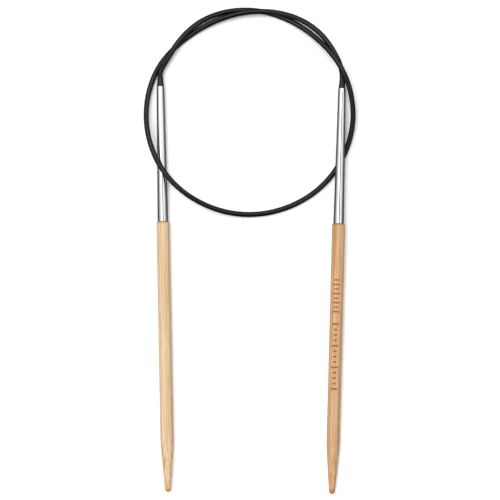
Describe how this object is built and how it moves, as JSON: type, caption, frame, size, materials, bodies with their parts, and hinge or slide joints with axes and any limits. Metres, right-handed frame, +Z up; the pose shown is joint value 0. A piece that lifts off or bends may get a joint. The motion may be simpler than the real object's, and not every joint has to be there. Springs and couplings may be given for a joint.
{
  "type": "circular knitting needle",
  "caption": "Circular knitting needle: straight bamboo tips in tapered metal ferrules, joined by one looped flexible cord with moulded collars.",
  "frame": {"origin": "on the table under the middle of the two needles and their collars, the cord left out", "axes": "+Z up from the table, +Y from the points towards the cord's loop, +X from the left needle to the right one"},
  "size_m": [0.049, 0.1127, 0.0048],
  "materials": {
    "cord": "satin",
    "collar": "satin",
    "bead": "plain",
    "ferrule": "polished nickel plate",
    "glue": "clear adhesive",
    "left_bamboo": "smooth varnished bamboo",
    "right_bamboo": "smooth varnished bamboo"
  },
  "bodies": {
    "cord": {"cord": "cord"},
    "left_cord_end": {"left_cord_collar": "collar", "left_anchor_bead": "bead"},
    "left_needle": {"left_ferrule": "ferrule", "left_glue_film": "glue", "left_bamboo_tip": "left_bamboo"},
    "right_cord_end": {"right_cord_collar": "collar", "right_anchor_bead": "bead"},
    "right_needle": {"right_ferrule": "ferrule", "right_glue_film": "glue", "right_bamboo_tip": "right_bamboo"}
  },
  "joints": [
    {"name": "left_swing", "type": "hinge", "parent": "cord", "child": "left_cord_end", "pos_m": [-0.02111, 0.0495, 0.0015], "axis": [0, 0, 1], "range_deg": [-6, 8], "deforming": ["cord"]},
    {"name": "left_roll", "type": "hinge", "parent": "left_cord_end", "child": "left_needle", "pos_m": [-0.02105, 0.0461, 0.0015], "axis": [-0.0187, 0.9998, 0], "range_deg": [-180, 180], "stiffness_Nm_per_rad": 0.00026},
    {"name": "right_swing", "type": "hinge", "parent": "cord", "child": "right_cord_end", "pos_m": [0.02108, 0.049, 0.00299], "axis": [0, 0, 1], "range_deg": [-12, 5], "deforming": ["cord"]},
    {"name": "right_roll", "type": "hinge", "parent": "right_cord_end", "child": "right_needle", "pos_m": [0.021, 0.0456, 0.00293], "axis": [0.0248, 0.9995, 0.0175], "range_deg": [-180, 180], "stiffness_Nm_per_rad": 0.00026}
  ]
}
